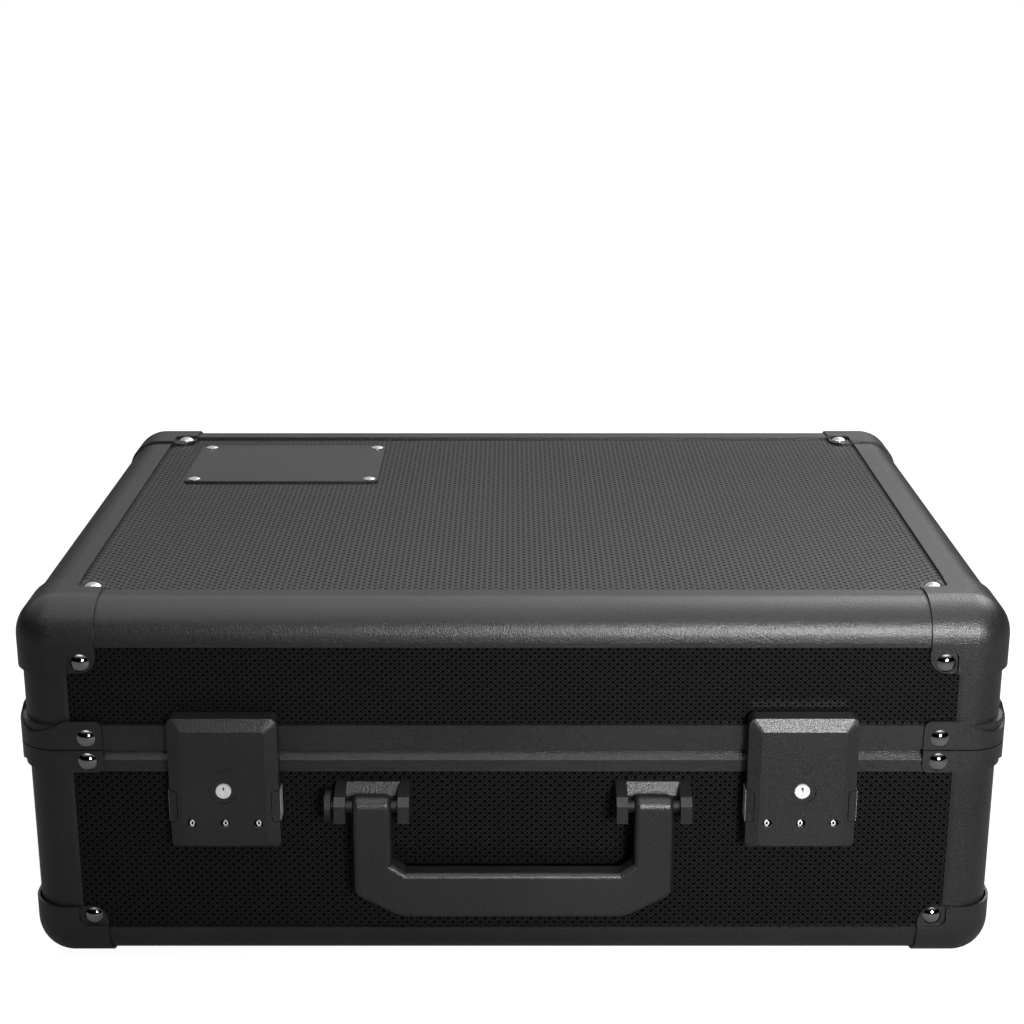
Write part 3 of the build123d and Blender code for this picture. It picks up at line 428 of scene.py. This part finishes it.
def foam_block(low, high, radius, crown):
    """A cut foam block: rounded upper edges, and a top that swells by crown in the middle."""
    x = edged(low[0], high[0], radius, 6)
    y = edged(low[1], high[1], radius, 6)
    swell = np.outer(np.sin(np.linspace(0, np.pi, len(x))), np.sin(np.linspace(0, np.pi, len(y))))
    drop = np.maximum.outer(rounding(x, radius), rounding(y, radius))
    upper = high[2] - crown - drop + crown * np.sqrt(swell)
    return slab_surface(x, y, np.full_like(upper, low[2]), upper)


def crested_pad(low, high, pitch):
    """A pad whose under face is a product of two cosines, in rounded crests."""
    x = np.linspace(low[0], high[0], 221)
    y = np.linspace(low[1], high[1], 155)
    waves = np.outer(np.cos(2 * np.pi * x / pitch), np.cos(2 * np.pi * y / pitch))
    lift = CREST_RISE * (1 - waves) / 2
    edge = np.maximum.outer(rounding(x, PAD_EDGE), rounding(y, PAD_EDGE))
    under = low[2] + np.maximum(lift, edge)
    return slab_surface(x, y, under, np.full_like(under, high[2]))


def dome(foot, outward, radius, height, edge):
    """A rivet head: a spherical cap on a low upright edge, turned about its outward direction."""
    ball = (radius**2 + (height - edge) ** 2) / (2 * (height - edge))
    arc = np.linspace(0, np.arcsin(radius / ball), 9)[1:]
    reach = np.concatenate([ball * np.sin(arc), [radius]])
    rise = np.concatenate([height - ball * (1 - np.cos(arc)), [0.0]])
    turn = np.linspace(0, 2 * np.pi, 36, endpoint=False)
    side = np.roll(outward, 1)
    other = np.cross(outward, side)
    circle = np.outer(np.cos(turn), side) + np.outer(np.sin(turn), other)
    rings = reach[:, None, None] * circle + rise[:, None, None] * outward
    points = foot + np.concatenate([rings.reshape(-1, 3), [outward * height, outward * 0]])
    index = np.arange(len(reach) * len(turn)).reshape(len(reach), -1)
    after = np.roll(index, -1, axis=1)
    walls = np.stack([index[:-1], index[1:], after[1:], after[:-1]], axis=-1).reshape(-1, 4)
    crown, heel = index.size, index.size + 1
    cap = np.stack([index[0], after[0], np.full_like(index[0], crown)], axis=-1)
    base = np.stack([after[-1], index[-1], np.full_like(index[0], heel)], axis=-1)
    return points, walls.tolist() + cap.tolist() + base.tolist()


def rivet_seats(name):
    """Foot, outward direction, radius, height and upright edge of each rivet of a node."""
    points = mesh_points(nodes[name].data) / MM
    seats = []
    while len(points):
        near = np.linalg.norm(points - points[0], axis=1) < RIVET_REACH
        mine = points[near]
        low, high = mine.min(axis=0), mine.max(axis=0)
        centre = (low + high) / 2
        axis = np.argmin(high - low)
        radius = np.delete(high - low, axis).max() / 2
        away = np.linalg.norm(np.delete(mine - centre, axis, axis=1), axis=1)
        rim = mine[away > radius - 0.1][:, axis]
        outward = np.zeros(3)
        outward[axis] = 1.0 if rim.mean() < centre[axis] else -1.0
        foot = centre.copy()
        foot[axis] = low[axis] if outward[axis] > 0 else high[axis]
        seats.append((foot, outward, radius, (high - low)[axis], np.ptp(rim)))
        points = points[~near]
    return seats


# Settings
class CoatSettings(bpy.types.PropertyGroup):
    """Coated metal of the rails, posts, corners, handle and locks."""

    colour: bpy.props.FloatVectorProperty(
        name="Rail Colour", description="Colour of the coated rails and corners",
        subtype="COLOR", default=(0.014, 0.014, 0.0145), min=0, max=1,
    )
    # A touch lighter than the rails: the casting coat's tone, partly painted light for the light the
    # locks catch
    cast_colour: bpy.props.FloatVectorProperty(
        name="Casting Colour", description="Colour of the handle and the locks",
        subtype="COLOR", default=(0.015, 0.015, 0.0155), min=0, max=1,
    )
    roughness: bpy.props.FloatProperty(
        name="Roughness", description="How dull the coat is",
        subtype="FACTOR", default=0.34, min=0, max=1,
    )
    grain: bpy.props.FloatProperty(
        name="Grain", description="Size of the coat's texture in millimetres",
        default=0.65, min=0.1, max=3,
    )


class PanelSettings(bpy.types.PropertyGroup):
    """Embossed boards."""

    colour: bpy.props.FloatVectorProperty(
        name="Board Colour", description="Colour of the embossed boards",
        subtype="COLOR", default=(0.0038, 0.0038, 0.0039), min=0, max=1,
    )
    relief: bpy.props.FloatProperty(
        name="Relief", description="Height of the embossing in millimetres",
        default=0.12, min=0, max=1,
    )


class FoamSettings(bpy.types.PropertyGroup):
    """Foam lining."""

    colour: bpy.props.FloatVectorProperty(
        name="Foam Colour", description="Colour of the foam",
        subtype="COLOR", default=(0.022, 0.022, 0.024), min=0, max=1,
    )
    edge: bpy.props.FloatProperty(
        name="Edge Round", description="Round of the cut edges in millimetres",
        default=2.5, min=0.2, max=6,
    )
    crest: bpy.props.FloatProperty(
        name="Crest Spacing", description="Distance between crests of the lid pad in millimetres",
        default=24.0, min=10, max=60,
    )


class StageSettings(bpy.types.PropertyGroup):
    """Lamps and camera."""

    front_power: bpy.props.FloatProperty(
        name="Front Softbox", description="Power of the softbox in front on the right",
        unit="POWER", default=2.15, min=0,
    )
    top_power: bpy.props.FloatProperty(
        name="Top Softbox", description="Power of the softbox over the case",
        unit="POWER", default=5.5, min=0,
    )
    lens: bpy.props.FloatProperty(
        name="Lens", description="Focal length of the camera in millimetres",
        default=65.3, min=10, max=300,
    )


# Steps
class CARDCASE_OT_coat(bpy.types.Operator):
    """Coat the rails, posts, corners, brackets, handle and lock covers"""

    bl_idname = "cardcase.coat"
    bl_label = "Coated Metal"

    def execute(self, context):
        look = context.scene.cardcase_coat
        finish = (look.roughness, look.grain, COAT_RELIEF)
        rails = powder_coat("rail_coat", look.colour, *finish)
        # The casting coat is a touch lighter than the rails, partly painted light
        cast = powder_coat("casting_coat", look.cast_colour, *finish)
        pins = powder_coat("pin_coat", (0.003, 0.003, 0.003), 0.6, look.grain, 0.05)
        for shell in ("base", "lid"):
            for piece in ("edge_rails", "corner_posts", "rim", "ball_corners", "rim_brackets"):
                dress(rails, f"{shell}_{piece}")
        dress(rails, "badge_plate")
        dress(cast, "handle", "handle_bracket_left", "handle_bracket_right")
        dress(pins, "handle_pins")
        for side, middle in SIDES.items():
            dress(cast, f"{side}_lock_cover")
            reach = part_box(f"{side}_lock_right_button")[1].x / MM - middle
            name = f"{side}_button_coat"
            buttons = powder_coat(name, look.cast_colour, *finish, bare=(middle, reach))
            dress(buttons, f"{side}_lock_left_button", f"{side}_lock_right_button")
        return {"FINISHED"}


class CARDCASE_OT_boards(bpy.types.Operator):
    """Face the boards with embossed sheet"""

    bl_idname = "cardcase.boards"
    bl_label = "Embossed Boards"

    def execute(self, context):
        look = context.scene.cardcase_panel
        for number, (pattern, face, names) in enumerate(BOARDS, start=1):
            label = f"embossed_sheet_{number}"
            sheet = embossed_sheet(label, look.colour, look.relief, face, **EMBOSSING[pattern])
            dress(sheet, *names)
        return {"FINISHED"}


class CARDCASE_OT_metal(bpy.types.Operator):
    """Plate the hinges, the lock fittings and the key cylinders"""

    bl_idname = "cardcase.metal"
    bl_label = "Bright Metal"

    def execute(self, context):
        zinc = bright_metal("zinc_plating", (0.52, 0.53, 0.55), 0.3, brush=0.02)
        # Place of the painted shade in the key slot, on either side
        key_slot_shade = (LOCK_X, KEY_SLOT_LOW, KEY_SLOT_HIGH)
        nickel = bright_metal("key_nickel", (0.9, 0.9, 0.89), 0.42, metal=0.45, slot=key_slot_shade)
        dress(zinc, "hinge_pins", "base_hinge_leaves", "lid_hinge_leaves")
        dress(zinc, "lock_plates", "lock_hinge_pins", "lock_keepers")
        for side in SIDES:
            dress(zinc, f"{side}_wheel_axle")
            dress(nickel, f"{side}_key_cylinder")
        return {"FINISHED"}


class CARDCASE_OT_rivets(bpy.types.Operator):
    """Set a polished dome over each rivet"""

    bl_idname = "cardcase.rivets"
    bl_label = "Rivet Domes"

    def execute(self, context):
        plated = bright_metal("dome_plating", (0.4, 0.4, 0.405), 0.07, worn=0.03)
        for node, body in RIVET_BODIES.items():
            domes = [dome(*seat) for seat in rivet_seats(node)]
            piece = mesh_from(f"{node}_domes", *merge_blocks(domes), plated)
            smooth(piece, 0.6)
            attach(piece, body)
            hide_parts(node)
        return {"FINISHED"}


class CARDCASE_OT_numbers(bpy.types.Operator):
    """Number the wheels from 0 to 9"""

    bl_idname = "cardcase.numbers"
    bl_label = "Number Wheels"

    def execute(self, context):
        black = moulded_plastic("wheel_plastic", (0.003, 0.003, 0.003), 0.7, 0.1)
        white = moulded_plastic("number_paint", (0.85, 0.85, 0.83), 0.45)
        glyphs = [self.glyph(str(number)) for number in range(NUMBERS)]
        for side in SIDES:
            for wheel in (1, 2, 3):
                name = f"{side}_number_wheel_{wheel}"
                dress(black, name)
                low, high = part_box(name)
                centre = np.array((low + high) / 2) / MM
                blocks = [self.wrapped(glyph, turn, centre) for turn, glyph in enumerate(glyphs)]
                ring = mesh_from(f"{side}_numbers_{wheel}", *merge_blocks(blocks), white)
                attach(ring, name)
        return {"FINISHED"}

    def glyph(self, character):
        """Points and faces of a raised character 2.5 mm high, flat on X and Y."""
        text = bpy.data.curves.new("numeral", "FONT")
        text.body = character
        text.size = 3.7
        text.align_x = "CENTER"
        text.align_y = "CENTER"
        text.extrude = 0.06
        text.offset = 0.05
        text.resolution_u = 3
        holder = bpy.data.objects.new("numeral", text)
        bpy.context.scene.collection.objects.link(holder)
        bpy.context.view_layer.update()
        mesh = bpy.data.meshes.new_from_object(holder)
        faces = [list(face.vertices) for face in mesh.polygons]
        bpy.data.objects.remove(holder)
        return mesh_points(mesh) * (1.3, 1.0, 1.0), faces

    def wrapped(self, glyph, turn, centre):
        """The character bent round the wheel: its height becomes an angle, its depth a radius."""
        flat, faces = glyph
        radius = WHEEL_RADIUS + flat[:, 2]
        angle = flat[:, 1] / WHEEL_RADIUS + turn * 2 * np.pi / NUMBERS
        x = centre[0] + flat[:, 0]
        y = centre[1] - radius * np.cos(angle)
        z = centre[2] + radius * np.sin(angle)
        return np.stack([x, y, z], axis=-1), faces


class CARDCASE_OT_foam(bpy.types.Operator):
    """Line the case with foam"""

    bl_idname = "cardcase.foam"
    bl_label = "Foam Lining"

    def execute(self, context):
        look = context.scene.cardcase_foam
        foam = foam_finish("black_foam", look.colour, 0.9)
        left, front, foot, right, back, top = self.extent("foam_walls")
        first, row_front, _low, _right, row_back, _high = self.extent("foam_dividers")
        side_wall = right - ROW_EDGE

        def block(start, end, near, far, crown):
            """A block of full height between two places on X and two on Y."""
            return foam_block((start, near, foot), (end, far, top), look.edge, crown)

        walls = [
            block(left + CORNER_LAP, right - CORNER_LAP, front, row_front - FOAM_SEAM, 0.6),
            block(left + CORNER_LAP, right - CORNER_LAP, row_back + FOAM_SEAM, back, 0.6),
            block(left, left + side_wall, row_front, row_back, 0.8),
            block(right - side_wall, right, row_front, row_back, 0.8),
        ]
        starts = [first + ROW_PITCH * row for row in range(3)]
        dividers = [block(x, x + DIVIDER_THICK, row_front, row_back, 0.8) for x in starts]
        floor = self.extent("foam_floor_pad")
        pad = self.extent("lid_foam_pad")
        self.lay(walls, "foam_wall_lining", foam, "base", "foam_walls")
        self.lay(dividers, "foam_row_dividers", foam, "base", "foam_dividers")
        floor_block = foam_block(floor[:3], floor[3:], 2.0, 0.4)
        self.lay([floor_block], "foam_floor_lining", foam, "base", "foam_floor_pad")
        lid_pad = crested_pad(pad[:3], pad[3:], look.crest)
        self.lay([lid_pad], "foam_lid_lining", foam, "lid", "lid_foam_pad")
        return {"FINISHED"}

    def extent(self, name):
        """The low and then the high corner of a node's box."""
        low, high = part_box(name)
        return (*(low / MM), *(high / MM))

    def lay(self, blocks, name, material, body, node):
        """Put foam blocks in place of their CAD solids."""
        piece = mesh_from(name, *merge_blocks(blocks), material)
        smooth(piece, 0.9)
        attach(piece, body)
        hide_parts(node)


class CARDCASE_OT_stage(bpy.types.Operator):
    """Set up the floor, the lamps, the world and the camera"""

    bl_idname = "cardcase.stage"
    bl_label = "Stage"

    def execute(self, context):
        look = context.scene.cardcase_stage
        self.floor()
        self.lamp("front_softbox", look.front_power, *FRONT_LAMP)
        self.lamp("top_softbox", look.top_power, *TOP_LAMP)
        self.world(context)
        data = bpy.data.cameras.new("camera")
        data.lens = look.lens
        data.sensor_width = 36.0
        data.clip_start = 0.01
        camera = bpy.data.objects.new("camera", data)
        camera.location = CAMERA_PLACE
        camera.rotation_euler = Euler((np.radians(90 - CAMERA_TILT), 0, 0))
        context.scene.collection.objects.link(camera)
        context.scene.camera = camera
        context.scene.view_settings.view_transform = "Standard"
        return {"FINISHED"}

    def floor(self):
        """A wide floor, white to the camera apart from the object's shadow."""
        ends = np.array([-FLOOR_REACH, FLOOR_REACH])
        across, along = np.meshgrid(ends, ends, indexing="ij")
        points = np.stack([across, along, np.zeros_like(across)], axis=-1).reshape(-1, 3)
        s = new_finish("pale_floor")
        paper = s.node("ShaderNodeBsdfDiffuse", {}, {"Color": (0.25, 0.25, 0.25, 1)})
        seen, mirrored, through = s.rays()
        away = s.node("ShaderNodeVectorMath", {"operation": "LENGTH"}, {0: s.place()}, output=1)
        pale = away.step(300.0, 520.0, 0.92, 1.0)
        strength = seen.bigger(through) * pale + mirrored * 0.02
        white = s.node("ShaderNodeEmission", {}, {"Color": WHITE, "Strength": strength})
        material = s.lead(s.node("ShaderNodeAddShader", {}, {0: paper, 1: white}))
        floor = mesh_from("floor", points, grid_faces(2, 2)[:, ::-1].tolist(), material)

    def lamp(self, name, power, place, aim, size, spread):
        """A rectangular softbox turned to a point, whose light spreads by so many degrees."""
        data = bpy.data.lights.new(name, "AREA")
        data.shape = "RECTANGLE"
        data.size, data.size_y = size
        data.spread = np.radians(spread)
        data.energy = power
        lamp = bpy.data.objects.new(name, data)
        lamp.location = place
        lamp.rotation_euler = (Vector(aim) - Vector(place)).to_track_quat("-Z", "Y").to_euler()
        bpy.context.scene.collection.objects.link(lamp)

    def world(self, context):
        """White to the camera; as light, a pale back and ceiling round a dark front."""
        studio = bpy.data.worlds.new("studio")
        context.scene.world = studio
        s = Shader(studio, "ShaderNodeOutputWorld")
        seen, mirrored, through = s.rays()
        x, y, z = s.axes(s.node("ShaderNodeTexCoord", output="Generated"))
        # The back wall, brightest a little over the case and on its right
        back = y.step(-0.2, 0.75) * z.step(0.26, 0.4, 0.0, 1.4) * z.step(0.42, 0.62, 1.0, 0.52)
        back = back * x.step(-0.8, 0.4, 0.65, 1.15) * x.step(0.4, 0.75, 1.0, 0.3)
        # A window at the back on the right, in reflections only
        patch = y.step(0.0, 0.4) * x.step(0.05, 0.4, 0.0, 6.4) * x.step(0.5, 0.75, 1.0, 0.0)
        patch = patch * z.step(0.4, 0.54) * z.step(0.85, 1.0, 1.0, 0.0)
        # The ceiling
        overhead = z.step(0.4, 0.9, 0.0, 0.85) * y.step(-0.9, -0.35) * x.step(-0.5, 0.5, 0.7, 1.1)
        # A strip over the front on the right, in reflections only
        strip = y.step(-0.85, -0.6) * y.step(-0.4, -0.2, 1.0, 0.0)
        strip = strip * z.step(0.7, 0.85) * x.step(0.5, 0.7, 1.7, 0.0)
        light = (1 - seen) * (back + overhead) + mirrored * (patch + strip)
        strength = seen.bigger(through) + light
        s.lead(s.node("ShaderNodeBackground", {}, {"Color": WHITE, "Strength": strength}))


class CARDCASE_PT_panel(bpy.types.Panel):
    """Lists the settings and the steps of the case"""

    bl_idname = "CARDCASE_PT_panel"
    bl_label = "Card Storage Case"
    bl_space_type = "VIEW_3D"
    bl_region_type = "UI"
    bl_category = "Card Case"

    def draw(self, context):
        for group, operator in STEPS:
            box = self.layout.box()
            if group:
                settings = getattr(context.scene, group)
                for key in type(settings).__annotations__:
                    box.prop(settings, key)
            box.operator(operator.bl_idname)


SETTINGS = {
    "cardcase_coat": CoatSettings,
    "cardcase_panel": PanelSettings,
    "cardcase_foam": FoamSettings,
    "cardcase_stage": StageSettings,
}
STEPS = (
    ("cardcase_stage", CARDCASE_OT_stage),
    ("cardcase_coat", CARDCASE_OT_coat),
    ("cardcase_panel", CARDCASE_OT_boards),
    (None, CARDCASE_OT_metal),
    (None, CARDCASE_OT_rivets),
    (None, CARDCASE_OT_numbers),
    ("cardcase_foam", CARDCASE_OT_foam),
)


def register():
    """Register the settings, the operators and the panel."""
    for name, group in SETTINGS.items():
        bpy.utils.register_class(group)
        setattr(bpy.types.Scene, name, bpy.props.PointerProperty(type=group))
    for _group, operator in STEPS:
        bpy.utils.register_class(operator)
    bpy.utils.register_class(CARDCASE_PT_panel)


def unregister():
    """Take all of it out again."""
    bpy.utils.unregister_class(CARDCASE_PT_panel)
    for _group, operator in reversed(STEPS):
        bpy.utils.unregister_class(operator)
    for name, group in SETTINGS.items():
        delattr(bpy.types.Scene, name)
        bpy.utils.unregister_class(group)


def main():
    """Run every step in order."""
    register()
    for _group, operator in STEPS:
        family, name = operator.bl_idname.split(".")
        getattr(getattr(bpy.ops, family), name)()


if __name__ == "__main__":
    main()
